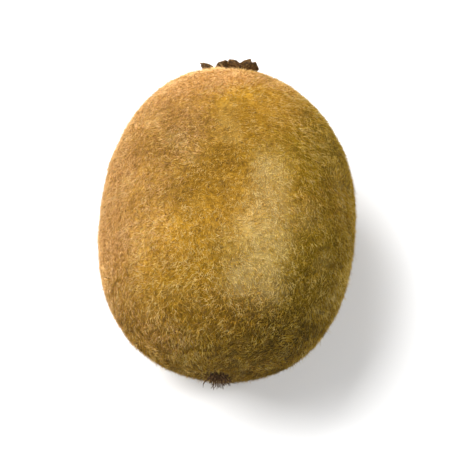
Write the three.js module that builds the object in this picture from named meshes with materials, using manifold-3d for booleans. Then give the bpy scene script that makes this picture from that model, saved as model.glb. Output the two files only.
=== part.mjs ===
// A whole kiwi fruit lying on its side on a small flat spot of its belly.
//
// Millimetres, +Z up. The long axis lies along Y: the stem end points to +Y and the
// blossom end to -Y. The origin is the middle of the flat spot, on the surface below.
//
// The fruit is three pieces: the body, which grew in one piece, the calyx at the stem
// end (a woody scar with five dried sepals) and the tuft of dried styles at the
// blossom end. The calyx and the tuft lie on the skin with a hair's breadth of air.

import * as THREE from "three";
import { mergeVertices } from "three/addons/utils/BufferGeometryUtils.js";
import Module from "manifold-3d";

// ---- Driving dimensions ----------------------------------------------------------

const WIDTH = 51.6; // across the fruit, along X
const THICKNESS = 48; // the flatter way through it, along Z
const BLOSSOM_LENGTH = 33.4; // from the widest section to the blossom end
const STEM_LENGTH = 31.6; // from the widest section to the stem end, before it sinks in
const FLAT_SPOT_DEPTH = 0.35; // how much of the belly's curve the flat spot takes off

// The outline is a superellipse: 2 is an ellipse, and more is fuller.
const SECTION_FULLNESS = 2.08; // round the girth
const BLOSSOM_FULLNESS = 2.32; // along the fruit, towards the blossom end
const STEM_FULLNESS = 2.1; // along the fruit, towards the stem end

// Soft ridges run from end to end and fade out towards both. Each is at an angle round
// the long axis, from +Z towards +X, that grows by its slant from the middle to the stem.
const RIDGES = [
  { at: 33, slant: -9, height: 1.2, spread: 14 },
  { at: -38, slant: 4, height: 0.45, spread: 22 },
  { at: 104, slant: 6, height: 0.4, spread: 26 },
  { at: -112, slant: -5, height: 0.4, spread: 26 },
];

// Broad shallow waves keep the surface from being a perfect oval. The pitch is the
// number of radians from one side of the fruit to the other along each axis.
const WAVES = [
  { pitch: [3.1, 2.2, -1.4], phase: 0.6, height: 0.2 },
  { pitch: [-2.0, 3.4, 2.7], phase: 2.1, height: 0.16 },
  { pitch: [4.6, -1.8, 3.9], phase: 4.0, height: 0.1 },
];

const STEM_CAVITY = { depth: 2.2, radius: 6.5 }; // the hollow that holds the calyx
const BLOSSOM_RING = { height: 0.3, radius: 4.6, width: 2.2 }; // raised round the styles
const BLOSSOM_PIT = { depth: 0.9, radius: 3.0 };

const AIR = 0.35; // between pieces that touch on the real fruit

const SCAR = { radius: 2.5, height: 1.35 };
// The scar's outline from its foot over the rim into the pit, as shares of the radius
// and of the height.
const SCAR_PROFILE = [
  [0, 0],
  [0.9, 0],
  [1, 0.35],
  [0.92, 0.8],
  [0.78, 1],
  [0.58, 0.94],
  [0.35, 0.48],
  [0, 0.585],
];

const SEPAL_THICKNESS = 0.7;
const SEPAL_ROOT = 1.3; // how far from the axis a sepal starts, inside the scar
const SEPAL_RISE = 0.45; // how high its middle starts above the calyx's foot
// Each sepal points away from the axis at an angle from +Z towards +X. It leaves the
// scar at one slope and ends at another, and its edges stand up by the cup height.
const SEPALS = [
  { at: 33, length: 6.3, width: 5.0, slopes: [17, 27], cup: 0.4 },
  { at: 112, length: 6.0, width: 4.8, slopes: [10, 15], cup: 0.6 },
  { at: 200, length: 5.8, width: 4.6, slopes: [8, 22], cup: 0.5 },
  { at: 286, length: 7.0, width: 4.2, slopes: [5, 47], cup: 0.6 },
  { at: 346, length: 6.4, width: 5.8, slopes: [15, 20], cup: 0.3 },
];

const STYLE_PAD = { radius: 2.2, height: 1.2 };
const STYLE_PAD_PROFILE = [
  [0, 0],
  [0.7, 0],
  [1, 0.5],
  [0.75, 0.92],
  [0, 1],
];
const STYLES = { count: 28, length: 2.2, root: 0.38, tip: 0.18, sides: 5 };
const STYLE_LEAN = { least: 5, most: 54 }; // degrees from the long axis
const STYLE_SPREAD = 1.65; // how far from the axis the outermost style grows
const STYLE_START = 0.6; // how high above the tuft's foot a style starts, inside the pad
const STYLE_VARIETY = 0.2; // how much longer or shorter than the rest a style may be
const GOLDEN_ANGLE = 137.508; // degrees between one style and the next

// How finely the surfaces are divided.
const AROUND = 72; // faces round the body
const ALONG = 46; // faces from end to end
const END_CROWDING = 0.5; // 0 spaces the rings evenly, towards 1 crowds them at the ends
const SEPAL_STEPS = { along: 9, across: 4 };
const SCAR_SIDES = 20;
const STYLE_PAD_SIDES = 20;

const DEGREE = Math.PI / 180;

// ---- Solids ----------------------------------------------------------------------

const wasm = await Module();
wasm.setup();

/** A closed geometry as a solid that can be joined and cut. */
function solidOf(geometry) {
  const bare = geometry.clone();
  bare.deleteAttribute("normal");
  bare.deleteAttribute("uv");
  const merged = mergeVertices(bare, 1e-4);
  return new wasm.Manifold(
    new wasm.Mesh({
      numProp: 3,
      vertProperties: new Float32Array(merged.attributes.position.array),
      triVerts: new Uint32Array(merged.index.array),
    }),
  );
}

/** A solid as a geometry with flat faces. */
function geometryOf(solid) {
  const mesh = solid.getMesh();
  const indexed = new THREE.BufferGeometry();
  indexed.setAttribute(
    "position",
    new THREE.BufferAttribute(mesh.vertProperties, 3),
  );
  indexed.setIndex(new THREE.BufferAttribute(mesh.triVerts, 1));
  const geometry = indexed.toNonIndexed();
  geometry.computeVertexNormals();
  return geometry;
}

/** Geometries joined into one solid's geometry. */
function fused(geometries) {
  const [first, ...rest] = geometries.map(solidOf);
  return geometryOf(rest.reduce((sum, next) => sum.add(next), first));
}

/** A solid of revolution from a profile of shares of its radius and height. */
function turned(profile, radius, height, sides) {
  const outline = profile.map(([r, y]) => new THREE.Vector2(r * radius, y * height));
  return new THREE.LatheGeometry(outline, sides);
}

// ---- Body ------------------------------------------------------------------------

/** How far the skin is from the body's centre in a direction, a unit vector. */
function skinRadius(direction) {
  const { x, y, z } = direction;
  const towardsStem = y > 0;
  const halfLength = towardsStem ? STEM_LENGTH : BLOSSOM_LENGTH;
  const fullness = towardsStem ? STEM_FULLNESS : BLOSSOM_FULLNESS;
  const girth =
    Math.abs(x / (WIDTH / 2)) ** SECTION_FULLNESS +
    Math.abs(z / (THICKNESS / 2)) ** SECTION_FULLNESS;
  const oval = girth ** (fullness / SECTION_FULLNESS) + Math.abs(y / halfLength) ** fullness;
  const radius = oval ** (-1 / fullness);
  const fromAxis = radius * Math.hypot(x, z);
  return (
    radius +
    ridgeHeight(direction) +
    waveHeight(direction) +
    endRelief(fromAxis, towardsStem)
  );
}

function ridgeHeight({ x, y, z }) {
  const angle = Math.atan2(x, z) / DEGREE;
  const fade = (1 - y * y) ** 1.5;
  return RIDGES.reduce((sum, ridge) => {
    const away = ((angle - ridge.at - ridge.slant * y + 540) % 360) - 180;
    return sum + fade * ridge.height * Math.exp(-((away / ridge.spread) ** 2));
  }, 0);
}

function waveHeight({ x, y, z }) {
  return WAVES.reduce(
    (sum, { pitch, phase, height }) =>
      sum + height * Math.sin(pitch[0] * x + pitch[1] * y + pitch[2] * z + phase),
    0,
  );
}

/** The hollow at the stem end, and the ring and pit at the blossom end. */
function endRelief(fromAxis, towardsStem) {
  if (towardsStem) {
    return -STEM_CAVITY.depth * Math.exp(-((fromAxis / STEM_CAVITY.radius) ** 4));
  }
  const fromRing = (fromAxis - BLOSSOM_RING.radius) / BLOSSOM_RING.width;
  return (
    BLOSSOM_RING.height * Math.exp(-(fromRing ** 2)) -
    BLOSSOM_PIT.depth * Math.exp(-((fromAxis / BLOSSOM_PIT.radius) ** 4))
  );
}

/** The body round its own centre, before the flat spot. */
function roundBody() {
  const geometry = new THREE.SphereGeometry(1, AROUND, ALONG);
  const position = geometry.attributes.position;
  const direction = new THREE.Vector3();
  for (let i = 0; i < position.count; i++) {
    direction.fromBufferAttribute(position, i).normalize();
    const even = Math.acos(THREE.MathUtils.clamp(direction.y, -1, 1));
    const crowded = even - (END_CROWDING / 2) * Math.sin(2 * even);
    const turn = Math.atan2(direction.x, direction.z);
    direction.setFromSphericalCoords(1, crowded, turn);
    direction.multiplyScalar(skinRadius(direction));
    position.setXYZ(i, direction.x, direction.y, direction.z);
  }
  return geometry;
}

/** The body with its flat spot cut at the height of the surface below. */
function bodyGeometry() {
  const below = new THREE.BoxGeometry(WIDTH, WIDTH, WIDTH);
  below.translate(0, 0, -centreHeight - WIDTH / 2);
  return geometryOf(solidOf(roundBody()).subtract(solidOf(below)));
}

const down = new THREE.Vector3(0, 0, -1);
const stemwards = new THREE.Vector3(0, 1, 0);
const blossomwards = new THREE.Vector3(0, -1, 0);

const centreHeight = skinRadius(down) - FLAT_SPOT_DEPTH;
const cavityFloor = skinRadius(stemwards);
const pitFloor = skinRadius(blossomwards);

// ---- Calyx -----------------------------------------------------------------------
// Made standing on its own origin with +Y away from the fruit.

/** The woody scar where the stalk broke off: a low button with a rim and a pit. */
function scarGeometry() {
  return turned(SCAR_PROFILE, SCAR.radius, SCAR.height, SCAR_SIDES);
}

/** Half a sepal's width at a share of its length, as a share of the whole width. */
function sepalOutline(share) {
  const swell = 0.45 + 0.55 * Math.sin(Math.PI * (0.16 + share / 2));
  const roundEnd = Math.sqrt(Math.max(0.06, 1 - share ** 7));
  return (swell * roundEnd) / 2;
}

/** One dried sepal: a cupped blade with a round end, pointing along +Z. */
function sepalGeometry({ at, length, width, slopes, cup }) {
  const { along, across } = SEPAL_STEPS;
  const [firstSlope, lastSlope] = slopes.map((slope) => slope * DEGREE);
  const middle = [];
  let out = SEPAL_ROOT;
  let up = SEPAL_RISE;
  for (let i = 0; i <= along; i++) {
    const slope = firstSlope + (lastSlope - firstSlope) * (i / along);
    middle.push({ out, up, slope });
    out += (length / along) * Math.cos(slope);
    up += (length / along) * Math.sin(slope);
  }
  const face = (side) =>
    middle.flatMap(({ out, up, slope }, i) => {
      const share = i / along;
      const halfWidth = width * sepalOutline(share);
      return Array.from({ length: across + 1 }, (_, j) => {
        const t = (2 * j) / across - 1;
        const lift = cup * share * t * t + (side * SEPAL_THICKNESS) / 2;
        return [
          t * halfWidth,
          up + lift * Math.cos(slope),
          out - lift * Math.sin(slope),
        ];
      });
    });
  const geometry = blade(face(1), face(-1), along, across);
  geometry.rotateY(at * DEGREE);
  return geometry;
}

/** A closed blade between two grids of points that are divided alike. */
function blade(top, bottom, along, across) {
  const columns = across + 1;
  const offset = top.length;
  const faces = [];
  const quad = (a, b, c, d) => faces.push(a, b, c, a, c, d);
  for (let i = 0; i < along; i++) {
    for (let j = 0; j < across; j++) {
      const a = i * columns + j;
      const b = a + columns;
      quad(a, b, b + 1, a + 1);
      faces.push(offset + a, offset + b + 1, offset + b);
      faces.push(offset + a, offset + a + 1, offset + b + 1);
    }
    const left = i * columns;
    const right = left + across;
    quad(left, offset + left, offset + left + columns, left + columns);
    quad(right, right + columns, offset + right + columns, offset + right);
  }
  for (let j = 0; j < across; j++) {
    const end = along * columns + j;
    quad(j, j + 1, offset + j + 1, offset + j);
    quad(end, offset + end, offset + end + 1, end + 1);
  }
  const geometry = new THREE.BufferGeometry();
  geometry.setAttribute(
    "position",
    new THREE.Float32BufferAttribute([...top, ...bottom].flat(), 3),
  );
  geometry.setIndex(faces);
  return geometry;
}

function calyxGeometry() {
  return fused([scarGeometry(), ...SEPALS.map(sepalGeometry)]);
}

// ---- Style tuft ------------------------------------------------------------------
// Made standing on its own origin with +Y away from the fruit.

/** One dried style: a slim blunt bristle that leans out from the pad. */
function styleGeometry(index) {
  const share = (index + 0.5) / STYLES.count;
  const lean = (STYLE_LEAN.least + (STYLE_LEAN.most - STYLE_LEAN.least) * share) * DEGREE;
  const length = STYLES.length * (1 + STYLE_VARIETY * Math.sin(index * GOLDEN_ANGLE * DEGREE));
  const geometry = new THREE.CylinderGeometry(STYLES.tip, STYLES.root, length, STYLES.sides);
  geometry.translate(0, length / 2, 0);
  geometry.rotateX(lean);
  geometry.translate(0, STYLE_START, STYLE_SPREAD * Math.sqrt(share));
  geometry.rotateY(index * GOLDEN_ANGLE * DEGREE);
  return geometry;
}

function stylePadGeometry() {
  return turned(STYLE_PAD_PROFILE, STYLE_PAD.radius, STYLE_PAD.height, STYLE_PAD_SIDES);
}

function styleTuftGeometry() {
  const styles = Array.from({ length: STYLES.count }, (_, i) => styleGeometry(i));
  return fused([stylePadGeometry(), ...styles]);
}

// ---- The fruit -------------------------------------------------------------------

const skin = new THREE.MeshStandardMaterial({ color: 0x93702f, roughness: 0.62, metalness: 0 });
const driedSepal = new THREE.MeshStandardMaterial({
  color: 0x4a3622,
  roughness: 0.85,
  metalness: 0,
});
const driedStyle = new THREE.MeshStandardMaterial({
  color: 0x33241a,
  roughness: 0.9,
  metalness: 0,
});

function named(name, geometry, material) {
  const mesh = new THREE.Mesh(geometry, material);
  mesh.name = name;
  return mesh;
}

const body = named("kiwi_body", bodyGeometry(), skin);

const calyx = named("calyx", calyxGeometry(), driedSepal);
calyx.position.y = cavityFloor + AIR;

const styleTuft = named("style_tuft", styleTuftGeometry(), driedStyle);
styleTuft.position.y = -(pitFloor + AIR);
styleTuft.rotation.x = Math.PI;

const kiwi = new THREE.Group();
kiwi.add(body, calyx, styleTuft);
kiwi.position.z = centreHeight;

export default kiwi;
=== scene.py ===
"""A kiwi fruit lying on its side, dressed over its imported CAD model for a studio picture.

Everything is in metres, +Z up. The long axis lies along Y, the stem end at +Y and the
blossom end at -Y, and an angle round it goes from +Z towards +X. Four things are made:
the skin over the CAD body, the fuzz that grows out of it, the dried calyx at the stem end
and the tuft of dried styles at the blossom end.
"""

import math

import bpy
import numpy as np
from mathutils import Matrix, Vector
from mathutils.bvhtree import BVHTree


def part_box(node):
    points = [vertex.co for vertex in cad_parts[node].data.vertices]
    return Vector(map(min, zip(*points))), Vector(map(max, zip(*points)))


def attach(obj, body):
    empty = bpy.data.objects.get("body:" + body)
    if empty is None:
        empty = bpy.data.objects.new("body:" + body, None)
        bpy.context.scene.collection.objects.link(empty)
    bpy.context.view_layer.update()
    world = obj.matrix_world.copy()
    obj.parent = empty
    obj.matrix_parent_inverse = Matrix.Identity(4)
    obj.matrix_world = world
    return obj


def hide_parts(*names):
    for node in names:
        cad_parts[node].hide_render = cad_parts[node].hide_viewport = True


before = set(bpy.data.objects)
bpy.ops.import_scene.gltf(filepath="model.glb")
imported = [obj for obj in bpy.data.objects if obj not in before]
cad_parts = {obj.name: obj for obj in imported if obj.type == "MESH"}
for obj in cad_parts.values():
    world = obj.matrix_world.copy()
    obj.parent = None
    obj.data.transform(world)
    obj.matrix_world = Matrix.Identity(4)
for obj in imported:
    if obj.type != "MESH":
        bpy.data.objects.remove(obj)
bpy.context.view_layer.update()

MM = 0.001
BODY, CALYX, TUFT = "kiwi_body", "calyx", "style_tuft"

# ---- Sizes of the skin -----------------------------------------------------------

SKIN_COLUMNS = 304  # points round the girth
SKIN_RINGS = 228  # rings of points from end to end
END_CROWDING = 0.5  # 0 spaces the rings evenly, towards 1 crowds them at the ends
FACET_BLUR = 3  # grid cells, about two thirds of a CAD facet
BLUR_REACH = 9  # grid cells that the blur takes in on each side

FLAT_SPOT_RISE = 0.2 * MM  # room for crushed hairs between the flat spot and the floor
FLAT_SPOT_EDGE = 0.12 * MM  # how softly the skin turns into its flat spot

# Folds of the skin run out from the calyx and from the styles.
FOLD_HEIGHT = 0.10 * MM
FOLD_WAVES = [(1.0, 17), (0.5, 39.1)]  # how high each wave is, and how many go round
FOLD_BENDS = (2.0, 3.0)  # radians that each wave is bent where the field is 1
FOLD_REACH = (7.5 * MM, 4.5 * MM)  # from the axis, at the stem end and the blossom end
FOLD_RISE = (0.25, 0.55)  # shares of the reach between which the folds rise
FOLD_FALL = (0.6, 1.25)  # and between which they die away

# A corky spot lies round the axis at each end.
CORK_RADIUS = (4.6 * MM, 3.1 * MM)  # at the stem end and the blossom end
CORK_EDGE = (0.75, 1.25)  # shares of the radius between which it turns into skin

# ---- Places of the colours -------------------------------------------------------

# Half the fruit's size across, along and up. A place in half sizes is weighed, and the
# range is where its sum turns the colour on.
HALF_SIZE = (26 * MM, 32 * MM, 24 * MM)
OLIVE = {"weights": (1.0, -0.4, -0.2), "range": (-0.6, 1.0)}
# The pale tan on the -X side and above the stem end is painted light.
PAINTED_LIGHT = {"weights": (-1.0, 0.3, 0.0), "range": (0.1, 0.95), "most": 0.9}
PAINTED_LIGHT_BRIM = {"along": (18 * MM, 27 * MM), "up": (-6 * MM, 10 * MM), "more": 0.55}

# A band beside the ridge where the hair is thinned by wear, and which is partly a painted
# highlight that makes its hair and skin paler. Along it, 0 is its middle and 1 its end
# nearest the stem. Its edges are soft, in degrees round the fruit, and slant by so many
# degrees from the middle to that end.
RUBBED_AND_HIGHLIGHT_MIDDLE = -6.5 * MM
RUBBED_AND_HIGHLIGHT_REACH = 15.5 * MM
RUBBED_AND_HIGHLIGHT_INNER_EDGE, RUBBED_AND_HIGHLIGHT_INNER_SLANT = (2, 16), 8
RUBBED_AND_HIGHLIGHT_OUTER_EDGE, RUBBED_AND_HIGHLIGHT_OUTER_SLANT = (22, 38), -4
RUBBED_AND_HIGHLIGHT_END_POWER = 6  # more ends the band more suddenly
RUBBED_AND_HIGHLIGHT_STRENGTH = ((-0.7, 0.4), (1.045, 0.66))  # places along it, and the strength there
WORN_SPOTS = {"range": (0.3, 1.2), "most": 0.25}

# How much lighter or darker the fruit is. The ends: between which places along it the
# change comes, in millimetres, and how much lighter it gets; the darkening at the blossom
# end is painted shade. The corner between the blossom end and the +X side, in the same
# way, is painted shade too.
END_LIGHTNESS = [((17, 28), 0.20), ((-13, -30), -0.18)]
CORNER_SHADE = {"along": (-17, -24), "across": (-5, 6), "lighter": -0.13}
# Patches: the middle as seen from above, how far each reaches across and along the fruit,
# all in millimetres, and how much lighter it is. An endless reach makes a belt.
PATCHES = [
    ((0, 10), (math.inf, 8), -0.05),
    ((-8, 9), (8, 8), -0.20),
    ((-8, -15), (6, 6), 0.14),
    ((-11, -2), (5, 4), -0.12),
    ((3, -8), (4, 4), 0.10),
    ((15, 8), (5, 7), 0.18),
    ((1, 23), (7, 5), 0.10),
]

# ---- Sizes of the fuzz -----------------------------------------------------------

# Lengths and radii are in millimetres, and a lean is degrees from standing straight up. A
# hair's tip sags, and strays at random, by shares of its length.
SHORT_FUZZ = {
    "pieces": 3, "each": 48000, "segments": 1, "seed": 70,
    "length": (0.75, 1.45), "radius": 0.048, "lean": (48, 76), "sag": 0.0, "stray": 0.0,
}
LONG_FUZZ = {
    "pieces": 1, "each": 19000, "segments": 2, "seed": 80,
    "length": (1.2, 2.0), "radius": 0.042, "lean": (24, 60), "sag": 0.35, "stray": 0.2,
}
HAIR_SIDES = 3
HAIR_TAPER = 0.75  # how fast a hair thins, as a share of its radius over its length
HAIR_VARIETY = (0.75, 1.25)  # times the radius
HAIR_STRAY = 0.75  # radians that a hair turns out of the swirl it stands in
HAIR_SIDE_HINT = (0.31, 0.22, 0.92)  # a hair's sides are square to it and to the hair
BLOSSOMWARDS = (0.0, -1.0, 0.0)

ROOT_DEPTH = 0.08 * MM  # how far a hair's root is sunk in the skin
FLOOR_GAP = 0.02 * MM  # no hair gets closer to the floor
TIP_GAP = 0.06 * MM  # how far above the floor the crushed hairs under the fruit end
STEEPEST = 0.999  # how much of its length a crushed hair may still reach straight down

BARE_RADIUS = (4.2 * MM, 2.7 * MM)  # round the axis, at the stem end and the blossom end
BARE_EDGE = (0.8, 1.3)  # shares of it between which the hair sets in
RUBBED_THINNING = 0.2  # how much of the hair is missing where it is rubbed

# A hair's colour is a place on a palette, the UV map: across it the families of tones,
# each from dark to light, and up it from root to tip.
FAMILY_START = {"pale_tan": 0.02, "golden": 0.35, "olive": 0.68}
FAMILY_SPAN = 0.3
HAIR_SPAN = 0.03  # how much of the palette lies across one hair
# A hair's tone in its family: 0 is dark and 1 light.
TONE_MIDDLE = 0.5
TONE_SCATTER = 0.2
# The lightening on the -X side and top is painted light, that in the band by the ridge is partly a
# painted highlight, and the patches hold painted shade at the blossom end.
TONE_BY = {"patch": 0.55, "pale_tan": 0.09, "rubbed_and_highlight": 0.34}  # lighter by so much of each
# The scatter grows by so much more between two places along the fruit.
TONE_CONTRAST = {"along": (10 * MM, -25 * MM), "more": 0.5}

# ---- Sizes of the calyx ----------------------------------------------------------

# The sepals are those of the CAD model: an angle round the axis, a length, a width, the
# slope at the scar and at the tip, and the cup's height.
SEPALS = [
    (33, 6.3, 5.0, (17, 27), 0.4),
    (112, 6.0, 4.8, (10, 15), 0.6),
    (200, 5.8, 4.6, (8, 22), 0.5),
    (286, 7.0, 4.2, (5, 47), 0.6),
    (346, 6.4, 5.8, (15, 20), 0.3),
]
FIRST_SEPAL_SEED = 40
SEPAL_ROOT = 1.3 * MM  # how far from the axis a sepal starts, inside the scar
SEPAL_RISE = 0.45 * MM  # how high its middle starts above the calyx's foot
SEPAL_GRID = (44, 26)  # faces along and across
SEPAL_THICKNESS = (0.375 * MM, 0.21 * MM)  # at the scar and at the tip
SEPAL_EDGE_THINNING = 0.45  # how much thinner it is at its edges
# Its width swells like part of half a wave, from a start in half waves, and its end is
# rounded off, more bluntly with more power.
SEPAL_SWELL = {"least": 0.45, "more": 0.55, "start": 0.16}
SEPAL_END = {"least": 0.05, "power": 7}

# The edges fray by shares of the half width, and the tip tears by the depth. Each wave
# has a height, and radians along the sepal or across half of it.
FRAY_WAVES = [(0.05, 21), (0.04, 47)]
TEAR_DEPTH = 0.035  # as a share of the length
TEAR_WAVES = [(1.0, 4.3), (0.6, 10.5)]
TEAR_CORNERS = 0.9  # how far the tip's corners are worn back, in depths
CURL_POWER = 2.6  # more keeps the cup's curl nearer to the edges
TIP_CURL = 0.25 * MM  # how much higher the cup is at the tip
CRINKLE = {"height": 0.10 * MM, "along": 9, "across": 5, "least": 0.4}
FIBRES = {"height": 0.035 * MM, "across": 15, "sway": 1.5, "along": 5}
MIDRIB = {"height": 0.07 * MM, "width": 0.16}
UNDERSIDE_RELIEF = 0.6  # of the fibres and the midrib

# The felt starts at a share of a sepal's length. Its tones are scattered by the two numbers
# of a beta distribution, up to the lightest.
FELT = {
    "count": 4200, "seed": 90, "start": 0.12, "lean": (50, 80), "stray": 0.45,
    "length": (0.3, 0.75), "radius": 0.03, "tone": (2, 3), "lightest": 0.6,
}

SCAR_PROFILE = [  # distance from the axis and height, in millimetres
    (2.7, -0.6), (2.75, 0.1), (2.6, 0.75), (2.35, 1.15), (2.0, 1.35), (1.7, 1.3),
    (1.5, 1.05), (1.25, 0.8), (0.9, 0.72), (0.5, 0.85), (0.25, 0.92),
]
SCAR_RINGS, SCAR_SIDES = 44, 96
SCAR_WAVES = [(0.07, 3), (0.05, 7), (0.035, 17)]  # shares of the radius, and how many
SCAR_PHASES = (0.8, 2.1, 0.0)

# ---- Sizes of the style tuft -----------------------------------------------------

STYLE_COUNT = 46
STYLE_SEED = 50
STYLE_STEPS, STYLE_SIDES = 12, 6
STYLE_LENGTH = 2.5 * MM
STYLE_VARIETY = (0.7, 1.15)  # times the length
STYLE_RADIUS = (0.17 * MM, 0.07 * MM)  # at the root and at the tip
STYLE_LEAN = (4, 50)  # degrees, from the innermost style to the outermost
STYLE_SPREAD = 1.4875 * MM  # how far from the axis the outermost style grows
STYLE_START = 0.605 * MM  # how high its middle line starts, inside the pad
STYLE_CROOK = (0.10, 0.28)  # how far its tip strays, in lengths
STYLE_KINK = {"height": 0.10, "pitch": 7}  # in lengths, and radians from root to tip
STYLE_KNOTS = {"height": 0.25, "pitch": 11}  # in radii, and radians from root to tip
STYLE_SIDE_HINT = (0.4, 0.3, 0.86)  # a style's sides are square to it and to the style
GOLDEN_ANGLE = math.radians(137.508)  # between one style and the next

PAD_RINGS, PAD_SIDES = 14, 64
PAD_RADIUS = 2.15 * MM
PAD_HEIGHT = 1.1 * MM
PAD_DEPTH = 0.35 * MM  # how far its foot goes down past the tuft's own foot
PAD_TOP = 0.97  # how much of the quarter turn to its top is made, 1 would be a point
PAD_POWER = 0.6  # less is fuller
PAD_WAVES = [(0.08, 5), (0.05, 13)]  # shares of the radius, and how many go round

# ---- Random fields ---------------------------------------------------------------

FIELD_WAVES = 26  # how many waves a field is made of
FIELD_PITCH = (0.7, 1.4)  # how much wider or finer than the bumps the waves are
# How wide the bumps are, how strong the field is, and its seed.
FIELDS = {
    "wide_bumps": (3.4 * MM, 0.05 * MM, 1),
    "fine_bumps": (1.3 * MM, 0.018 * MM, 2),
    "fold_bend": (5 * MM, 0.9, 8),
    "cork_edge": (2.2 * MM, 0.9 * MM, 61),
    "olive": (13 * MM, 0.25, 21),
    "pale_tan": (9 * MM, 0.15, 29),
    "rubbed_and_highlight_edge": (6 * MM, 2.5, 28),  # degrees
    "worn_spots": (5 * MM, 1.0, 22),
    "hair_clumps": (1.5 * MM, 0.35, 23),
    "small_swirls": (4 * MM, 0.9, 24),  # radians
    "wide_swirls": (14 * MM, 0.8, 25),  # radians
    "tone_clouds": (7 * MM, 0.07, 26),
    "tone_grain": (1.1 * MM, 0.15, 27),
    "scar_grain": (0.5 * MM, 0.10 * MM, 31),
    "scar_lumps": (1.4 * MM, 0.08 * MM, 32),
    "pad_crust": (0.45 * MM, 0.1 * MM, 51),
}

# ---- Camera and lights -----------------------------------------------------------

# The camera is aimed from above the blossom end. Its turn tips the stem end to the right.
CAMERA_TURN = 3.0
CAMERA_RISE = 72.0
CAMERA_DISTANCE = 0.60
CAMERA_LENS = 232.0
CAMERA_FAR = 20

# A light stands so many degrees to the right of the camera and above it.
KEY_LIGHT = {"right": -40, "up": 33, "distance": 0.9, "size": 0.8, "power": 19.4}
RIDGE_LIGHT = {"right": 35, "up": 8, "distance": 0.9, "size": 0.25, "power": 4.0}
WORLD_LIGHT = 0.25
FLOOR_REACH = 2.0

WHITE = (1.0, 1.0, 1.0, 1.0)
TINY = 1e-12  # keeps a division by nothing from failing


# ---- Numbers ---------------------------------------------------------------------


def srgb(red, green, blue):
    """A colour given as 0 to 255, as linear values with full alpha."""
    share = np.array([red, green, blue]) / 255
    linear = np.where(share <= 0.04045, share / 12.92, ((share + 0.055) / 1.055) ** 2.4)
    return (*linear.tolist(), 1.0)


def unit(vectors):
    """Vectors of length 1 that point the same way."""
    return vectors / np.maximum(np.linalg.norm(vectors, axis=-1, keepdims=True), TINY)


def smooth(values, start, end):
    """0 before start and 1 past end, with a soft change between. Either may be larger."""
    t = np.clip((values - start) / (end - start), 0, 1)
    return t * t * (3 - 2 * t)


def between(ends, share):
    """From the first of two ends at share 0 to the second at share 1."""
    return ends[0] + (ends[1] - ends[0]) * share


def angles(count):
    """Angles evenly round a circle."""
    return np.arange(count) * 2 * math.pi / count


def stacked(*parts):
    """Rows of parts, where each part is a grid, a row, a column or one number."""
    return np.stack(np.broadcast_arrays(*parts), axis=-1)


def turned(radius, along, turn):
    """Points by how far they are from the Y axis, how far along it and at what angle."""
    return stacked(radius * np.sin(turn), along, radius * np.cos(turn))


def axis_distance(points, centre):
    """How far points are from the fruit's long axis."""
    return np.hypot(points[..., 0], points[..., 2] - centre[2])


def ripple(values, waves, phases):
    """Waves added up. Each has a height, and a pitch in radians for each unit of values."""
    pairs = zip(waves, phases)
    return sum(height * np.sin(pitch * values + phase) for (height, pitch), phase in pairs)


def field(points, name):
    """A smooth random field, mostly between minus and plus its strength."""
    size, strength, seed = FIELDS[name]
    rng = np.random.default_rng(seed)
    pitch = unit(rng.normal(size=(FIELD_WAVES, 3))) * rng.uniform(*FIELD_PITCH, (FIELD_WAVES, 1))
    phase = rng.uniform(0, 2 * math.pi, FIELD_WAVES)
    waves = np.sin(points @ (pitch.T * math.pi / size) + phase)
    return strength * (waves.sum(-1) * math.sqrt(1 / FIELD_WAVES))


# ---- Meshes ----------------------------------------------------------------------


def piece(name, vertices, faces, material, uv=None):
    """A smooth mesh that rides on the fruit. uv has one row for each face corner."""
    mesh = bpy.data.meshes.new(name)
    mesh.from_pydata(vertices.tolist(), [], faces)
    mesh.shade_smooth()
    if uv is not None:
        mesh.uv_layers.new(name="OFBake").data.foreach_set("uv", uv.ravel())
    mesh.materials.append(material)
    made = bpy.data.objects.new(name, mesh)
    bpy.context.scene.collection.objects.link(made)
    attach(made, "root")
    return made


def point_value(made, name, values):
    """Stores a number at each vertex for the material to read."""
    made.data.attributes.new(name, "FLOAT", "POINT").data.foreach_set("value", values)


def grid_faces(rows, columns, closed):
    """Quads between rows of points, with the last column joined to the first if closed."""
    quads_across = columns if closed else columns - 1
    row, column = np.indices((rows - 1, quads_across))
    a = row * columns + column
    b = row * columns + (column + 1) % columns
    return np.stack([a, b, b + columns, a + columns], axis=-1).reshape(-1, 4)


def barrel_faces(rings, sides):
    """Quads round a stack of rings of points, and a face over each end."""
    last = (rings - 1) * sides
    foot, lid = list(range(sides))[::-1], list(range(last, last + sides))
    return grid_faces(rings, sides, closed=True).tolist() + [foot, lid]


def joined(parts):
    """Several meshes, each given as vertices and faces, as one."""
    vertices, faces, offset = [], [], 0
    for points, local in parts:
        vertices.append(points)
        faces += [[corner + offset for corner in face] for face in local]
        offset += len(points)
    return np.vstack(vertices), faces


# ---- Skin ------------------------------------------------------------------------


def skin_directions():
    """Unit vectors ring by ring from the stem end."""
    even = (np.arange(SKIN_RINGS)[:, None] + 0.5) * math.pi / SKIN_RINGS
    polar = even - END_CROWDING / 2 * np.sin(2 * even)
    return turned(np.sin(polar), np.cos(polar), angles(SKIN_COLUMNS))


def cad_radius(centre, directions):
    """How far the CAD body's surface is from centre in each direction."""
    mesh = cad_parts[BODY].data
    tree = BVHTree.FromPolygons([v.co for v in mesh.vertices], [p.vertices for p in mesh.polygons])
    reach = [tree.ray_cast(centre, Vector(d))[3] for d in directions.reshape(-1, 3).tolist()]
    return np.array(reach, float).reshape(directions.shape[:2])


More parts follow.
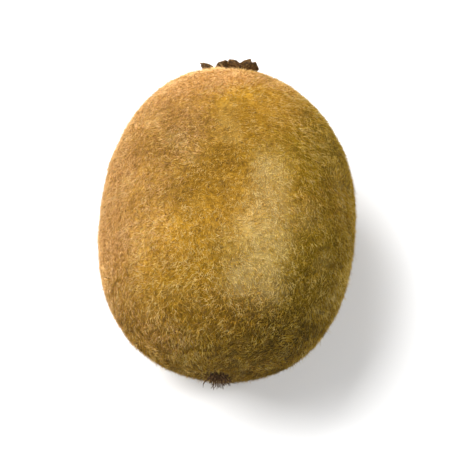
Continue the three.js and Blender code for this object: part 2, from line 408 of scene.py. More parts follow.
def without_facets(radius):
    """The radii blurred over a facet. The rings carry on over both ends of the fruit."""
    shifts = np.arange(-BLUR_REACH, BLUR_REACH + 1)
    weights = np.exp(-0.5 * (shifts / FACET_BLUR) ** 2)
    weights /= weights.sum()
    rings, columns = radius.shape
    over_stem = np.roll(radius[:BLUR_REACH][::-1], columns // 2, axis=1)
    over_blossom = np.roll(radius[-BLUR_REACH:][::-1], columns // 2, axis=1)
    tall = np.vstack([over_stem, radius, over_blossom])
    rows = sum(w * tall[BLUR_REACH + s:BLUR_REACH + s + rings] for s, w in zip(shifts, weights))
    return sum(w * np.roll(rows, s, axis=1) for s, w in zip(shifts, weights))


def skin_relief(points, directions, from_axis):
    """Soft bumps all over, and folds that run out from the calyx and from the styles."""
    turn = np.arctan2(directions[..., 0], directions[..., 2])
    bend = field(points, "fold_bend")
    folds = ripple(turn, FOLD_WAVES, [radians * bend for radians in FOLD_BENDS])
    share = from_axis / np.where(directions[..., 1] > 0, *FOLD_REACH)
    near_end = smooth(share, *FOLD_RISE) * (1 - smooth(share, *FOLD_FALL))
    bumps = field(points, "wide_bumps") + field(points, "fine_bumps")
    return bumps + FOLD_HEIGHT * near_end * folds


def skin_points(centre):
    """A grid of points over the CAD body, in low relief, and flat where the fruit rests."""
    directions = skin_directions()
    radius = without_facets(cad_radius(centre, directions))
    points = np.array(centre) + directions * radius[..., None]
    relief = skin_relief(points, directions, axis_distance(points, centre))
    points += directions * relief[..., None]
    above = (points[..., 2] - FLAT_SPOT_RISE) / FLAT_SPOT_EDGE
    points[..., 2] = FLAT_SPOT_RISE + FLAT_SPOT_EDGE * np.logaddexp(0, above)
    return points


def skin_mesh(points):
    """Vertices, faces and unwrapping: the grid of rings, closed by a fan at each end.

    The rings go down from the stem end, so their quads are turned over to face outwards.
    """
    rings, columns = points.shape[:2]
    vertices = np.vstack([points.reshape(-1, 3), points[0].mean(0), points[-1].mean(0)])
    around = np.arange(columns)
    onward = (around + 1) % columns
    last = (rings - 1) * columns
    stem, blossom = rings * columns, rings * columns + 1
    stem_fan = stacked(stem, around, onward)
    blossom_fan = stacked(blossom, last + onward, last + around)
    quads = grid_faces(rings, columns, closed=True)[:, ::-1]

    left, right = around / columns, (around + 1) / columns
    middle = (left + right) / 2
    heights = np.arange(1, rings + 1)[:, None] / (rings + 1)
    top, bottom = heights[:-1], heights[1:]
    first, final = heights[0], heights[-1]
    quad_uv = stacked(left, bottom, right, bottom, right, top, left, top)
    stem_uv = stacked(middle, 0.0, left, first, right, first)
    blossom_uv = stacked(middle, 1.0, right, final, left, final)
    uv = np.concatenate([quad_uv.ravel(), stem_uv.ravel(), blossom_uv.ravel()])
    return vertices, quads.tolist() + stem_fan.tolist() + blossom_fan.tolist(), uv


# ---- Places of the colours -------------------------------------------------------


def weighed(points, centre, weights):
    """How far across, along and up the fruit points are, in half sizes, weighed and added."""
    return ((points - (0, 0, centre[2])) / HALF_SIZE) @ weights


def cork_share(points, centre):
    """How far the skin is cork, 0 to 1: in a ragged spot at each end."""
    ragged = axis_distance(points, centre) + field(points, "cork_edge")
    radius = np.where(points[..., 1] > centre[1], *CORK_RADIUS)
    return 1 - smooth(ragged / radius, *CORK_EDGE)


def olive_share(points, centre):
    """How far the fruit is from golden to olive, 0 to 1: more on its +X side and blossom end."""
    place = weighed(points, centre, OLIVE["weights"])
    return smooth(place + field(points, "olive"), *OLIVE["range"])


def painted_light_share(points, centre):
    """How far the fruit is pale tan, 0 to 1, as painted light: on the -X side and above the stem
    end.
    """
    place = weighed(points, centre, PAINTED_LIGHT["weights"])
    above = smooth(points[..., 2] - centre[2], *PAINTED_LIGHT_BRIM["up"])
    brim = PAINTED_LIGHT_BRIM["more"] * above * smooth(points[..., 1], *PAINTED_LIGHT_BRIM["along"])
    return PAINTED_LIGHT["most"] * smooth(place + brim + field(points, "pale_tan"), *PAINTED_LIGHT["range"])


def rubbed_and_highlight_share(points, centre):
    """How far the hair is thinned by wear, 0 to 1: in a band on the upper +X side, which is also
    partly a painted highlight, and in spots.
    """
    turn = np.degrees(np.arctan2(points[..., 0], points[..., 2] - centre[2]))
    turn += field(points, "rubbed_and_highlight_edge")
    along = (points[..., 1] - RUBBED_AND_HIGHLIGHT_MIDDLE) / RUBBED_AND_HIGHLIGHT_REACH
    inside = smooth(turn - RUBBED_AND_HIGHLIGHT_INNER_SLANT * along, *RUBBED_AND_HIGHLIGHT_INNER_EDGE)
    outside = smooth(turn - RUBBED_AND_HIGHLIGHT_OUTER_SLANT * along, *RUBBED_AND_HIGHLIGHT_OUTER_EDGE)
    band = inside * (1 - outside) * np.exp(-along ** RUBBED_AND_HIGHLIGHT_END_POWER)
    spots = WORN_SPOTS["most"] * smooth(field(points, "worn_spots"), *WORN_SPOTS["range"])
    return np.clip(np.interp(along, *RUBBED_AND_HIGHLIGHT_STRENGTH) * band + spots, 0, 1)


def patch_lightness(points):
    """How much lighter or darker than usual the fruit is, towards its ends and in patches. The
    darkening at the blossom end and at its +X corner is painted shade.
    """
    across, along = points[..., 0] / MM, points[..., 1] / MM
    lighter = sum(change * smooth(along, *places) for places, change in END_LIGHTNESS)
    corner = smooth(along, *CORNER_SHADE["along"]) * smooth(across, *CORNER_SHADE["across"])
    lighter += CORNER_SHADE["lighter"] * corner
    for middle, reach, change in PATCHES:
        away = (points[..., :2] / MM - middle) / reach
        lighter += change * np.exp(-(away ** 2).sum(-1))
    return lighter


# ---- Fuzz ------------------------------------------------------------------------


def face_normals(corners):
    """Vectors square to four-cornered faces, each twice as long as its face is large."""
    return np.cross(corners[:, 2] - corners[:, 0], corners[:, 3] - corners[:, 1])


def scatter(corners, density, count, rng):
    """Random places on four-cornered faces, by their density, and the face each is on."""
    share = np.cumsum(np.maximum(density, 0))
    chosen = np.searchsorted(share, rng.uniform(0, share[-1], count))
    s, t = rng.uniform(0, 1, (2, count, 1))
    a, b, c, d = (corners[chosen, k] for k in range(4))
    return (a * (1 - s) + b * s) * (1 - t) + (d * (1 - s) + c * s) * t, chosen


def hair_roots(points, centre, count, rng):
    """Places on the skin, with the skin's own direction outwards there."""
    corners = points.reshape(-1, 3)[grid_faces(*points.shape[:2], closed=True)]
    normals = face_normals(corners)
    middle = corners.mean(1)
    outside = np.sign((normals * (middle - np.array(centre))).sum(-1, keepdims=True))
    outwards = unit(normals) * outside
    bare = np.where(middle[:, 1] > centre[1], *BARE_RADIUS)
    density = np.linalg.norm(normals, axis=-1)
    density *= 1 - RUBBED_THINNING * rubbed_and_highlight_share(middle, centre)
    density *= smooth(axis_distance(middle, centre) / bare, *BARE_EDGE)
    density *= 1 + field(middle, "hair_clumps")
    roots, chosen = scatter(corners, density, count, rng)
    return roots, outwards[chosen]


def along_surface(ways, outwards):
    """Ways without what goes straight out of the surface."""
    return ways - outwards * (ways * outwards).sum(-1, keepdims=True)


def leaning(outwards, along, lean, rng):
    """Ways that lean over from outwards to along, by random degrees in a range."""
    lean = np.radians(rng.uniform(*lean, (len(outwards), 1)))
    return np.cos(lean) * outwards + np.sin(lean) * along


def hair_directions(roots, outwards, lean, rng):
    """Hairs lean over, most of them towards the blossom end, in loose swirls."""
    along = unit(along_surface(np.array(BLOSSOMWARDS), outwards))
    across = np.cross(outwards, along)
    swirl = field(roots, "small_swirls") + field(roots, "wide_swirls")
    turn = (swirl + rng.normal(0, HAIR_STRAY, len(roots)))[:, None]
    return leaning(outwards, np.cos(turn) * along + np.sin(turn) * across, lean, rng)


def crushed(roots, ways, bends):
    """Hairs that would go through the floor are laid over, with their tips just above it."""
    reach = np.linalg.norm(ways, axis=-1)
    fall = np.maximum(ways[:, 2], np.maximum(TIP_GAP - roots[:, 2], -STEEPEST * reach))
    level_reach = np.linalg.norm(ways[:, :2], axis=-1)
    stretch = np.sqrt(reach ** 2 - fall ** 2) / np.maximum(level_reach, TINY)
    sink = np.maximum(bends[:, 2], TIP_GAP - roots[:, 2] - fall)
    laid_over = np.column_stack([ways[:, :2] * stretch[:, None], fall])
    return laid_over, np.column_stack([bends[:, :2], sink])


def hair_tones(roots, centre, rng):
    """A place across the palette: pale tan, golden or olive, and from dark to light. The pale tan
    family and the extra lightness on the -X side and top are painted light.
    """
    grain = field(roots, "tone_grain") + rng.normal(0, TONE_SCATTER, len(roots))
    grain *= 1 + TONE_CONTRAST["more"] * smooth(roots[:, 1], *TONE_CONTRAST["along"])
    lit_paleness = painted_light_share(roots, centre)
    lightness = TONE_MIDDLE + grain + field(roots, "tone_clouds")
    # Within this, the darkening at the blossom end and its +X corner is painted shade.
    lightness += TONE_BY["patch"] * patch_lightness(roots)
    # Lighter on the -X side and above the stem end: painted light.
    lightness += TONE_BY["pale_tan"] * lit_paleness
    # Lighter in the band by the ridge: partly wear, partly a painted highlight.
    lightness += TONE_BY["rubbed_and_highlight"] * rubbed_and_highlight_share(roots, centre)
    # Hairs on the -X side and top are drawn from the pale tan family as painted light.
    pale_tan = rng.uniform(0, 1, len(roots)) < lit_paleness
    olive = rng.uniform(0, 1, len(roots)) < olive_share(roots, centre)
    start = np.where(olive, FAMILY_START["olive"], FAMILY_START["golden"])
    start = np.where(pale_tan, FAMILY_START["pale_tan"], start)
    return start + FAMILY_SPAN * np.clip(lightness, 0, 1)


def hair_faces(segments):
    """One hair's triangles, and where their corners are across the hair and up it, 0 to 1."""
    faces, corner_uv = [(0, 2, 1)], [((0, 0), (1, 0), (0.5, 0))]
    for step in range(segments):
        low, high = step / segments, (step + 1) / segments
        for corner in range(HAIR_SIDES):
            a = HAIR_SIDES * step + corner
            b = HAIR_SIDES * step + (corner + 1) % HAIR_SIDES
            if step == segments - 1:
                faces.append((a, b, HAIR_SIDES * segments))
                corner_uv.append(((0, low), (1, low), (0.5, 1)))
            else:
                faces += [(a, b, b + HAIR_SIDES), (a, b + HAIR_SIDES, a + HAIR_SIDES)]
                corner_uv += [((0, low), (1, low), (1, high)), ((0, low), (1, high), (0, high))]
    return np.array(faces), np.array(corner_uv, float)


def hair_mesh(roots, ways, bends, radii, tones, segments):
    """Closed three-sided hairs that taper to a point, and their place on the palette."""
    side = unit(np.cross(ways, HAIR_SIDE_HINT))
    other = unit(np.cross(ways, side))
    rows = []
    for step in range(segments):
        share = step / segments
        middle = roots + ways * share + bends * share ** 2
        for turn in angles(HAIR_SIDES):
            ring = side * math.cos(turn) + other * math.sin(turn)
            rows.append(middle + ring * radii * (1 - HAIR_TAPER * share))
    rows.append(roots + ways + bends)
    vertices = np.stack(rows, axis=1)
    vertices[..., 2] = np.maximum(vertices[..., 2], FLOOR_GAP)

    faces, corner_uv = hair_faces(segments)
    count, corners = vertices.shape[:2]
    all_faces = (faces + (np.arange(count) * corners)[:, None, None]).reshape(-1, 3)
    uv = np.broadcast_to(corner_uv, (count, *corner_uv.shape)).copy()
    uv[..., 0] = tones[:, None, None] + (uv[..., 0] - 0.5) * HAIR_SPAN
    return vertices.reshape(-1, 3), all_faces.tolist(), uv.reshape(-1, 2)


def grow_fuzz(name, kind, points, centre, material):
    """Pieces of one kind of fuzz, each spread over the whole fruit."""
    rng = np.random.default_rng(kind["seed"])
    count = kind["each"]
    for number in range(1, kind["pieces"] + 1):
        roots, outwards = hair_roots(points, centre, count, rng)
        ways = hair_directions(roots, outwards, kind["lean"], rng)
        length = rng.uniform(*kind["length"], (count, 1)) * MM
        bends = (rng.normal(0, kind["stray"], (count, 3)) - kind["sag"] * outwards) * length
        radii = kind["radius"] * MM * rng.uniform(*HAIR_VARIETY, (count, 1))
        tones = hair_tones(roots, centre, rng)
        sunk = roots - outwards * ROOT_DEPTH
        ways, bends = crushed(sunk, ways * length, bends)
        vertices, faces, uv = hair_mesh(sunk, ways, bends, radii, tones, kind["segments"])
        piece(f"{name}_{number}", vertices, faces, material, uv)


# ---- Calyx -----------------------------------------------------------------------
# Made in the plane of the stem end: x and z across it, and y up away from the fruit.


def closed_blade(top, bottom):
    """Faces that close two grids of points, divided alike, into one thin solid."""
    rows, columns = top.shape[:2]
    count = rows * columns
    index = np.arange(count).reshape(rows, columns)
    edge = np.concatenate([index[:-1, 0], index[-1, :-1], index[:0:-1, -1], index[0, :0:-1]])
    onward = np.roll(edge, -1)
    wall = np.stack([edge, edge + count, onward + count, onward], axis=-1)
    flat = grid_faces(rows, columns, closed=False)
    faces = np.vstack([flat[:, ::-1], flat + count, wall])
    return np.vstack([top.reshape(-1, 3), bottom.reshape(-1, 3)]), faces.tolist()


def sepal_outline(share):
    """Half a sepal's width at a share of its length, as a share of the whole width."""
    wave = np.sin(math.pi * (SEPAL_SWELL["start"] + share / 2))
    swell = SEPAL_SWELL["least"] + SEPAL_SWELL["more"] * wave
    round_end = np.sqrt(np.maximum(SEPAL_END["least"], 1 - share ** SEPAL_END["power"]))
    return swell * round_end / 2


def sepal(at, length, width, slopes, cup, seed):
    """A dried sepal: cupped, fibrous, with frayed edges and a torn tip."""
    phases = np.random.default_rng(seed).uniform(0, 2 * math.pi, (3, 2))
    fray_phases, tear_phases, (crinkle_phase, fibre_phase) = phases
    rows, columns = SEPAL_GRID
    share = np.linspace(0, 1, rows + 1)[:, None]
    t = np.linspace(-1, 1, columns + 1)  # across it, from edge to edge
    slope = np.radians(between(slopes, share))
    cos, sin = np.cos(slope), np.sin(slope)
    step = length * MM / rows
    out = SEPAL_ROOT + (np.cumsum(cos, axis=0) - cos) * step
    up = SEPAL_RISE + (np.cumsum(sin, axis=0) - sin) * step

    fray = 1 + ripple(share, FRAY_WAVES, fray_phases) * t ** 4
    half_width = width * MM * sepal_outline(share) * fray
    tear = ripple(t, TEAR_WAVES, tear_phases) - TEAR_CORNERS * t ** 2
    torn = TEAR_DEPTH * length * MM * share ** 3 * tear
    curl = (cup * MM + TIP_CURL * share) * share * np.abs(t) ** CURL_POWER
    wave = np.sin(CRINKLE["along"] * share + CRINKLE["across"] * t + crinkle_phase)
    crinkle = CRINKLE["height"] * share * wave * (CRINKLE["least"] + np.abs(t))
    sway = FIBRES["sway"] * np.sin(FIBRES["along"] * share + fibre_phase)
    fibres = FIBRES["height"] * np.sin(FIBRES["across"] * t + sway)
    relief = fibres + MIDRIB["height"] * np.exp(-(t / MIDRIB["width"]) ** 2)
    half_thick = between(SEPAL_THICKNESS, share) / 2 * (1 - SEPAL_EDGE_THINNING * t ** 4)

    def surface(side, relief_share):
        """The upper surface, with side 1, or the lower one, with side -1."""
        height = curl + crinkle + side * half_thick + relief_share * relief
        x = t * half_width
        y = up + torn * sin + height * cos
        z = out + torn * cos - height * sin
        turn = math.radians(at)
        across = x * math.cos(turn) + z * math.sin(turn)
        return stacked(across, y, z * math.cos(turn) - x * math.sin(turn))

    vertices, faces = closed_blade(surface(1, 1), surface(-1, UNDERSIDE_RELIEF))
    place = stacked(share, t, seed).reshape(-1, 3)
    return vertices, faces, np.vstack([place, place])


def scar():
    """The woody ring where the stalk broke off, with its pith."""
    knots = np.arange(len(SCAR_PROFILE))
    rings = np.linspace(0, knots[-1], SCAR_RINGS)
    radius, height = (np.interp(rings, knots, sizes)[:, None] * MM for sizes in zip(*SCAR_PROFILE))
    turn = angles(SCAR_SIDES)
    radius = radius * (1 + ripple(turn, SCAR_WAVES, SCAR_PHASES))
    points = turned(radius, height, turn)
    points[..., 1] += field(points, "scar_grain") + field(points, "scar_lumps")
    place = stacked(-radius / radius.max(), 0, 0)
    return points.reshape(-1, 3), barrel_faces(SCAR_RINGS, SCAR_SIDES), place.reshape(-1, 3)


def calyx_mesh(foot):
    """The scar and its sepals, set on the skin at the stem end.

    The third result is each vertex's place: along its sepal, across it and the sepal's
    seed, or on the scar minus the share of its radius.
    """
    sepals = [sepal(*sizes, seed) for seed, sizes in enumerate(SEPALS, FIRST_SEPAL_SEED)]
    parts = [scar()] + sepals
    vertices, faces = joined([part[:2] for part in parts])
    return vertices + np.array(foot), faces, np.vstack([part[2] for part in parts])


def grow_felt(vertices, faces, places, middle, material):
    """Short hairs on both sides of the sepals, combed towards their tips."""
    rng = np.random.default_rng(FELT["seed"])
    count = FELT["count"]
    quads = np.array([face for face in faces if len(face) == 4])
    quads = quads[places[quads, 0].min(1) > FELT["start"]]
    corners = vertices[quads]
    normals = face_normals(corners)
    roots, chosen = scatter(corners, np.linalg.norm(normals, axis=-1), count, rng)
    outwards = unit(normals[chosen])
    tipwards = along_surface(unit(roots - np.array(middle)), outwards)
    tipwards = unit(tipwards + rng.normal(0, FELT["stray"], (count, 3)))
    ways = leaning(outwards, tipwards, FELT["lean"], rng)
    ways *= rng.uniform(*FELT["length"], (count, 1)) * MM
    radii = FELT["radius"] * MM * rng.uniform(*HAIR_VARIETY, (count, 1))
    lightness = FELT["lightest"] * rng.beta(*FELT["tone"], count)
    tones = FAMILY_START["pale_tan"] + FAMILY_SPAN * lightness
    vertices, faces, uv = hair_mesh(roots, ways, np.zeros((count, 3)), radii, tones, 1)
    piece("calyx_felt", vertices, faces, material, uv)


# ---- Style tuft ------------------------------------------------------------------
# Made like the calyx, and turned over to point out of the blossom end.


def style(number, rng):
    """One withered style: a thin crooked thread with a blunt end."""
    share = (number + 0.5) / STYLE_COUNT
    lean = math.radians(between(STYLE_LEAN, share))
    up = np.array([0, 1, 0])
    outwards = turned(1, 0, number * GOLDEN_ANGLE)
    way = up * math.cos(lean) + outwards * math.sin(lean)
    length = STYLE_LENGTH * rng.uniform(*STYLE_VARIETY)
    crook = unit(rng.normal(size=3)) * rng.uniform(*STYLE_CROOK)
    kink = unit(rng.normal(size=3)) * STYLE_KINK["height"]

    steps = np.linspace(0, 1, STYLE_STEPS + 1)[:, None]
    root = outwards * STYLE_SPREAD * math.sqrt(share) + up * STYLE_START
    bends = crook * steps ** 2 + kink * np.sin(STYLE_KINK["pitch"] * steps)
    middle = root + length * (way * steps + bends)
    knots = 1 + STYLE_KNOTS["height"] * np.sin(STYLE_KNOTS["pitch"] * steps + number)
    radius = between(STYLE_RADIUS, steps) * knots
    side = unit(np.cross(way, STYLE_SIDE_HINT))
    other = np.cross(way, side)
    turn = angles(STYLE_SIDES)[:, None]
    ring = side * np.cos(turn) + other * np.sin(turn)
    points = middle[:, None] + ring * radius[:, None]
    return points.reshape(-1, 3), barrel_faces(STYLE_STEPS + 1, STYLE_SIDES)


def pad():
    """The dark crusty pad that the styles stand on."""
    share = np.linspace(0, 1, PAD_RINGS)[:, None]
    turn = angles(PAD_SIDES)
    wobble = 1 + ripple(turn, PAD_WAVES, (0, 0))
    radius = PAD_RADIUS * np.cos(share * math.pi / 2 * PAD_TOP) ** PAD_POWER * wobble
    height = PAD_HEIGHT * np.sin(share * math.pi / 2) - PAD_DEPTH * (1 - share)
    points = turned(radius, height, turn)
    points[..., 1] += field(points, "pad_crust")
    return points.reshape(-1, 3), barrel_faces(PAD_RINGS, PAD_SIDES)


def tuft_mesh(foot):
    """The pad and its styles, set on the skin at the blossom end."""
    rng = np.random.default_rng(STYLE_SEED)
    vertices, faces = joined([pad()] + [style(number, rng) for number in range(STYLE_COUNT)])
    turned_over = vertices * (1, -1, -1)
    return turned_over + np.array(foot), faces


# ---- Materials -------------------------------------------------------------------


def material_nodes(name, **settings):
    """A new material's node tree and shader, with the shader's plain sockets set."""
    made = bpy.data.materials.new(name)
    made.use_nodes = True
    shader = made.node_tree.nodes["Principled BSDF"]
    for socket, value in settings.items():
        shader.inputs[socket.replace("_", " ")].default_value = value
    return made, made.node_tree, shader


def add(tree, kind, inputs, **settings):
    """A new node. An input is a value, or the output of another node."""
    node = tree.nodes.new("ShaderNode" + kind)
    for name, value in settings.items():
        setattr(node, name, value)
    for name, value in inputs.items():
        if isinstance(value, bpy.types.NodeSocket):
            tree.links.new(value, node.inputs[name])
        else:
            node.inputs[name].default_value = value
    return node


def object_place(tree):
    """Where a point of the surface is."""
    return add(tree, "TexCoord", {}).outputs["Object"]


def stored(tree, name, output="Fac"):
    """What is stored at each vertex under a name."""
    return add(tree, "Attribute", {}, attribute_name=name).outputs[output]


def noise(tree, place, size, detail=3.0, roughness=0.55, stretch=None):
    """Cloudy noise of 0 to 1 with patches of about size."""
    if stretch:
        place = add(tree, "Mapping", {"Vector": place, "Scale": stretch}).outputs["Vector"]
    inputs = {"Vector": place, "Scale": 1 / size, "Detail": detail, "Roughness": roughness}
    return add(tree, "TexNoise", inputs).outputs["Fac"]


def ramp(tree, factor, stops):
    """Colours by a factor. Stops are (place, colour), and the ends hold beyond them."""
    node = add(tree, "ValToRGB", {"Fac": factor})
    elements = node.color_ramp.elements
    while len(elements) < len(stops):
        elements.new(0.5)
    for element, (position, colour) in zip(elements, stops):
        element.position, element.color = position, colour
    return node.outputs["Color"]


def level(tree, value, low, high, start=0.0, end=1.0):
    """A value's stretch from low to high, spread over start to end and held beyond."""
    inputs = {"Value": value, "From Min": low, "From Max": high, "To Min": start, "To Max": end}
    return add(tree, "MapRange", inputs, interpolation_type="SMOOTHSTEP").outputs["Result"]


def mix(tree, factor, first, second, how="MIX"):
    """Two colours mixed. The node takes colours at sockets 6 and 7, and gives one at 2."""
    inputs = {0: factor, 6: first, 7: second}
    return add(tree, "Mix", inputs, data_type="RGBA", blend_type=how).outputs[2]


def maths(tree, how, first, second):
    """Two numbers added or multiplied."""
    return add(tree, "Math", {0: first, 1: second}, operation=how).outputs[0]


def bump(tree, shader, height, strength, distance):
    """Fine relief in the shading alone. A height of 0 to 1 stands for the distance."""
    node = add(tree, "Bump", {"Height": height, "Strength": strength, "Distance": distance})
    tree.links.new(node.outputs["Normal"], shader.inputs["Normal"])


def skin_material():
    """Golden to olive skin, with mottling, dots and corky ends, painted light on the pale -X side
    and top, painted shade at the blossom end, and a band by the ridge made paler partly by wear
    and partly as a painted highlight.
    """
    made, tree, shader = material_nodes(
        "kiwi_skin", Specular_IOR_Level=0.25, Specular_Tint=srgb(255, 226, 150))
    place = object_place(tree)
    olive, pale_tan = stored(tree, "olive"), stored(tree, "pale_tan")
    rubbed_and_highlight, cork = stored(tree, "rubbed_and_highlight"), stored(tree, "cork")

    golden = ramp(tree, noise(tree, place, size=11 * MM), [
        (0.32, srgb(124, 88, 20)), (0.5, srgb(144, 106, 26)), (0.68, srgb(164, 124, 40))])
    green = ramp(tree, noise(tree, place, size=9 * MM), [
        (0.34, srgb(82, 65, 2)), (0.5, srgb(98, 79, 4)), (0.66, srgb(116, 93, 10))])
    colour = mix(tree, olive, golden, green)
    # Paler tan on the -X side and top: painted light.
    lit_pale_mix = maths(tree, "MULTIPLY", pale_tan, 0.8)
    colour = mix(tree, lit_pale_mix, colour, srgb(150, 110, 62))

    mottle = ramp(tree, noise(tree, place, size=0.9 * MM, detail=4.0, roughness=0.7), [
        (0.36, (0.55, 0.5, 0.42, 1)), (0.5, (0.92, 0.9, 0.88, 1)), (0.66, (1.18, 1.15, 1.1, 1))])
    colour = mix(tree, 0.85, colour, mottle, "MULTIPLY")
    # Lighter or darker by place; the darkening at the blossom end and its +X corner is painted
    # shade.
    lightness = level(tree, stored(tree, "lighter"), -0.5, 0.5, start=0.25, end=1.75)
    colour = mix(tree, 1.0, colour, lightness, "MULTIPLY")

    cells = add(tree, "TexVoronoi", {"Vector": place, "Scale": 1 / (1.3 * MM)})
    dots = level(tree, cells.outputs["Distance"], 0.10, 0.2, start=1.0, end=0.0)
    here_and_there = level(tree, noise(tree, place, size=6 * MM), 0.48, 0.6)
    dots = maths(tree, "MULTIPLY", dots, here_and_there)
    colour = mix(tree, dots, colour, srgb(74, 48, 20))

    # Paler skin in the band by the ridge: partly wear, partly a painted highlight.
    worn_and_highlight = maths(tree, "MULTIPLY", rubbed_and_highlight, 0.4)
    colour = mix(tree, worn_and_highlight, colour, srgb(188, 166, 112))
    crust = ramp(tree, noise(tree, place, size=0.6 * MM, detail=5.0, roughness=0.75), [
        (0.35, srgb(34, 22, 12)), (0.55, srgb(82, 58, 34)), (0.72, srgb(150, 122, 88))])
    colour = mix(tree, cork, colour, crust)
    tree.links.new(colour, shader.inputs["Base Color"])

    rough = level(tree, rubbed_and_highlight, 0.1, 0.7, start=0.85, end=0.55)
    tree.links.new(rough, shader.inputs["Roughness"])
    pores = noise(tree, place, size=0.45 * MM, detail=4.0, roughness=0.6, stretch=(1.0, 0.7, 1.0))
    bump(tree, shader, pores, strength=0.6, distance=0.09 * MM)
    return made


def fuzz_material():
    """Hair colours by the place on the palette: across it the tone, up it root to tip."""
    made, tree, shader = material_nodes(
        "kiwi_fuzz", Roughness=0.6, Specular_IOR_Level=0.08, Specular_Tint=srgb(255, 226, 150),
        Sheen_Weight=0.12, Sheen_Tint=srgb(255, 230, 150))
    place = add(tree, "UVMap", {}, uv_map="OFBake").outputs["UV"]
    parts = add(tree, "SeparateXYZ", {"Vector": place})
    across, up = parts.outputs["X"], parts.outputs["Y"]
    # Each family's colours lie where FAMILY_START and FAMILY_SPAN look for them.
    pale_tan = [
        (0.02, srgb(116, 78, 42)), (0.13, srgb(188, 136, 80)),
        (0.22, srgb(228, 178, 120)), (0.32, srgb(248, 208, 158))]
    golden = [
        (0.35, srgb(98, 66, 0)), (0.46, srgb(180, 129, 18)),
        (0.55, srgb(221, 175, 78)), (0.65, srgb(243, 216, 154))]
    olive = [
        (0.68, srgb(82, 60, 0)), (0.79, srgb(158, 121, 0)),
        (0.88, srgb(204, 168, 46)), (0.98, srgb(232, 209, 136))]
    tone = ramp(tree, across, pale_tan + golden + olive)
    # Darker and warmer towards each hair's root: painted shade in the gaps between hairs.
    shade = ramp(tree, up, [
        (0.0, (0.5, 0.43, 0.3, 1)), (0.45, (0.95, 0.92, 0.82, 1)), (1.0, WHITE)])
    colour = mix(tree, 1.0, tone, shade, "MULTIPLY")
    # Paler towards the tips: partly bleaching of the hair, partly a painted sheen.
    bleached_and_sheen = level(tree, up, 0.3, 1.0, end=0.22)
    colour = mix(tree, bleached_and_sheen, colour, srgb(250, 217, 136))
    tree.links.new(colour, shader.inputs["Base Color"])
    return made


def sepal_material():
    """Dead brown leaf with fibres, blotches and burnt tips, and the scar's rings of wood."""
    made, tree, shader = material_nodes("dried_sepal", Roughness=0.8, Specular_IOR_Level=0.25)
    place = object_place(tree)
    on_sepal = stored(tree, "place", "Vector")
    along = add(tree, "SeparateXYZ", {"Vector": on_sepal}).outputs["X"]

    fibres = noise(tree, on_sepal, size=0.11, detail=4.0, roughness=0.65, stretch=(0.16, 1.0, 1.0))
    leaf = ramp(tree, fibres, [
        (0.34, srgb(62, 43, 23)), (0.48, srgb(94, 68, 38)),
        (0.6, srgb(122, 92, 54)), (0.72, srgb(150, 120, 78))])
    blotch = ramp(tree, noise(tree, place, size=1.6 * MM, detail=4.0, roughness=0.6), [
        (0.4, (0.5, 0.46, 0.42, 1)), (0.62, WHITE)])
    leaf = mix(tree, 1.0, leaf, blotch, "MULTIPLY")
    burnt = ramp(tree, noise(tree, place, size=0.8 * MM, detail=4.0), [
        (0.4, srgb(40, 28, 14)), (0.66, srgb(98, 74, 42))])
    leaf = mix(tree, level(tree, along, 0.55, 0.95), leaf, burnt)

    from_middle = maths(tree, "MULTIPLY", along, -1.0)
    wood = ramp(tree, from_middle, [
        (0.1, srgb(104, 76, 46)), (0.3, srgb(62, 42, 24)), (0.46, srgb(126, 96, 62)),
        (0.66, srgb(148, 116, 78)), (0.82, srgb(84, 60, 36)), (0.95, srgb(56, 38, 22))])
    grain = ramp(tree, noise(tree, place, size=0.35 * MM, detail=5.0, roughness=0.7), [
        (0.34, (0.5, 0.46, 0.42, 1)), (0.6, (1.1, 1.1, 1.1, 1))])
    wood = mix(tree, 1.0, wood, grain, "MULTIPLY")
    on_scar = level(tree, along, -0.04, -0.02, start=1.0, end=0.0)
    tree.links.new(mix(tree, on_scar, leaf, wood), shader.inputs["Base Color"])

    rough = noise(tree, place, size=0.25 * MM, detail=4.0, roughness=0.7)
    bump(tree, shader, maths(tree, "ADD", fibres, rough), strength=0.8, distance=0.08 * MM)
    return made


def style_material():
    """Brown to straw, in blotches."""
    made, tree, shader = material_nodes("dried_style", Roughness=0.85, Specular_IOR_Level=0.2)
    blotches = noise(tree, object_place(tree), size=0.6 * MM, detail=4.0, roughness=0.7)
    colour = ramp(tree, blotches, [
        (0.35, srgb(38, 26, 15)), (0.52, srgb(84, 60, 36)), (0.7, srgb(144, 112, 72))])
    tree.links.new(colour, shader.inputs["Base Color"])
    return made


def floor_material():
    """Plain pale grey."""
    return material_nodes(
        "floor", Base_Color=(0.9, 0.9, 0.9, 1), Roughness=0.9, Specular_IOR_Level=0.1)[0]


# ---- Stage -----------------------------------------------------------------------


def stage_floor():
    """A wide square floor."""
    mesh = bpy.data.meshes.new("floor")
    corners = [(-1, -1, 0), (1, -1, 0), (1, 1, 0), (-1, 1, 0)]
    mesh.from_pydata((np.array(corners) * FLOOR_REACH).tolist(), [], [(0, 1, 2, 3)])
    mesh.materials.append(floor_material())
    made = bpy.data.objects.new("floor", mesh)
    bpy.context.scene.collection.objects.link(made)


def towards(rise, turn):
    """The unit vector to a height and a turn, in degrees, from in front of the blossom end."""
    rise, turn = math.radians(rise), math.radians(turn)
    level_way = Vector((math.sin(turn), -math.cos(turn), 0)) * math.cos(rise)
    return level_way + Vector((0, 0, math.sin(rise)))


def look_at(made, target):
    """Turns a camera or a light so that it points at target."""
    made.rotation_euler = (target - made.location).to_track_quat("-Z", "Y").to_euler()


def add_camera(target):
    """The camera that the picture is taken with."""
    data = bpy.data.cameras.new("camera")
    data.lens, data.clip_end = CAMERA_LENS, CAMERA_FAR
    made = bpy.data.objects.new("camera", data)
    made.location = target + towards(CAMERA_RISE, CAMERA_TURN) * CAMERA_DISTANCE
    look_at(made, target)
    bpy.context.scene.collection.objects.link(made)
    bpy.context.scene.camera = made
    return made


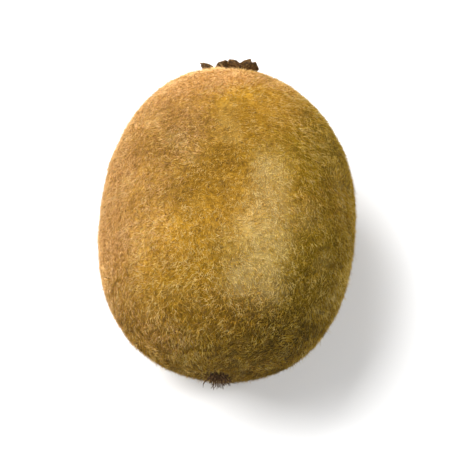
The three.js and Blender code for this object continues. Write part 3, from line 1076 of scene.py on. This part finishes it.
def add_light(name, place, camera, target):
    """A soft square light, placed by how far right and above the camera it stands."""
    right_way, up_way, back = camera.rotation_euler.to_matrix().col
    right, up = math.radians(place["right"]), math.radians(place["up"])
    way = (right_way * math.sin(right) + back * math.cos(right)) * math.cos(up)
    way += up_way * math.sin(up)
    data = bpy.data.lights.new(name, "AREA")
    data.shape, data.size, data.energy = "SQUARE", place["size"], place["power"]
    made = bpy.data.objects.new(name, data)
    made.location = target + way * place["distance"]
    look_at(made, target)
    bpy.context.scene.collection.objects.link(made)


def set_world(strength):
    """White light from all round."""
    world = bpy.data.worlds.new("world")
    world.use_nodes = True
    background = world.node_tree.nodes["Background"]
    background.inputs["Color"].default_value = WHITE
    background.inputs["Strength"].default_value = strength
    bpy.context.scene.world = world


# ---- The picture -----------------------------------------------------------------

low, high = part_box(BODY)
centre = Vector((0, (low.y + high.y) / 2, (low.z + high.z) / 2))

points = skin_points(centre)
vertices, faces, uv = skin_mesh(points)
skin = piece("skin", vertices, faces, skin_material(), uv)
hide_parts(BODY)
point_value(skin, "cork", cork_share(vertices, centre))
point_value(skin, "olive", olive_share(vertices, centre))
point_value(skin, "pale_tan", painted_light_share(vertices, centre))
point_value(skin, "rubbed_and_highlight", rubbed_and_highlight_share(vertices, centre))
point_value(skin, "lighter", patch_lightness(vertices))

fuzz = fuzz_material()
grow_fuzz("fuzz_short", SHORT_FUZZ, points, centre, fuzz)
grow_fuzz("fuzz_long", LONG_FUZZ, points, centre, fuzz)

calyx_foot = (0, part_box(CALYX)[0].y, centre.z)
vertices, faces, places = calyx_mesh(calyx_foot)
calyx = piece("calyx_dried", vertices, faces, sepal_material())
place = calyx.data.attributes.new("place", "FLOAT_VECTOR", "POINT")
place.data.foreach_set("vector", places.ravel())
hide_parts(CALYX)
grow_felt(vertices, faces, places, calyx_foot, fuzz)

tuft_foot = (0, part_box(TUFT)[1].y, centre.z)
vertices, faces = tuft_mesh(tuft_foot)
tuft = piece("style_tuft_dried", vertices, faces, style_material())
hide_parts(TUFT)

stage_floor()
camera = add_camera(centre)
aim = Vector((0, 0, centre.z))
add_light("key", KEY_LIGHT, camera, aim)
add_light("ridge", RIDGE_LIGHT, camera, aim)
set_world(WORLD_LIGHT)
bpy.context.scene.view_settings.view_transform = "Standard"
